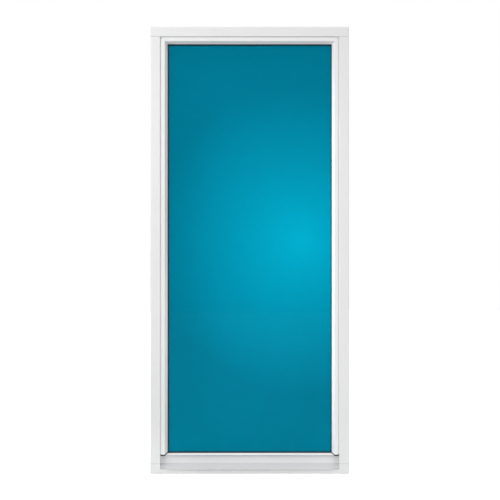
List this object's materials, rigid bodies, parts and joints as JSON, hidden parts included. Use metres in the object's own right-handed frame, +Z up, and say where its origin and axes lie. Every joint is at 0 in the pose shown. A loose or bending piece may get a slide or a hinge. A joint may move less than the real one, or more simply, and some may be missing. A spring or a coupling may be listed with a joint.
{
  "type": "fixed picture window",
  "caption": "Tall fixed window: white painted timber frame, mitred glazing beads, metal bottom bead and sill apron, and a sealed teal-tinted glass unit in black gaskets.",
  "frame": {"origin": "middle of the flat underside of the sill", "axes": "+Z up, +X to the right as seen from outside, -Y towards the outside, which is the side in the picture"},
  "size_m": [0.6, 0.115, 1.35],
  "materials": {
    "white_timber": "satin",
    "sill_aluminium": "satin",
    "tinted_glass": "polished",
    "clear_glass": "polished",
    "spacer_plastic": "matte",
    "edge_sealant": "matte",
    "black_gasket": "matte",
    "setting_plastic": "matte"
  },
  "bodies": {
    "root": {"frame_head": "white_timber", "frame_sill": "white_timber", "left_jamb": "white_timber", "right_jamb": "white_timber", "head_bead": "white_timber", "left_bead": "white_timber", "right_bead": "white_timber", "left_end_pad": "black_gasket", "right_end_pad": "black_gasket", "bottom_bead": "sill_aluminium", "sill_apron": "sill_aluminium", "outer_pane": "tinted_glass", "inner_pane": "clear_glass", "spacer_head": "spacer_plastic", "spacer_sill": "spacer_plastic", "spacer_left": "spacer_plastic", "spacer_right": "spacer_plastic", "edge_seal_head": "edge_sealant", "edge_seal_sill": "edge_sealant", "edge_seal_left": "edge_sealant", "edge_seal_right": "edge_sealant", "outer_gasket_head": "black_gasket", "outer_gasket_sill": "black_gasket", "outer_gasket_left": "black_gasket", "outer_gasket_right": "black_gasket", "inner_gasket_head": "black_gasket", "inner_gasket_sill": "black_gasket", "inner_gasket_left": "black_gasket", "inner_gasket_right": "black_gasket", "setting_block_left": "setting_plastic", "setting_block_right": "setting_plastic"}
  },
  "joints": []
}
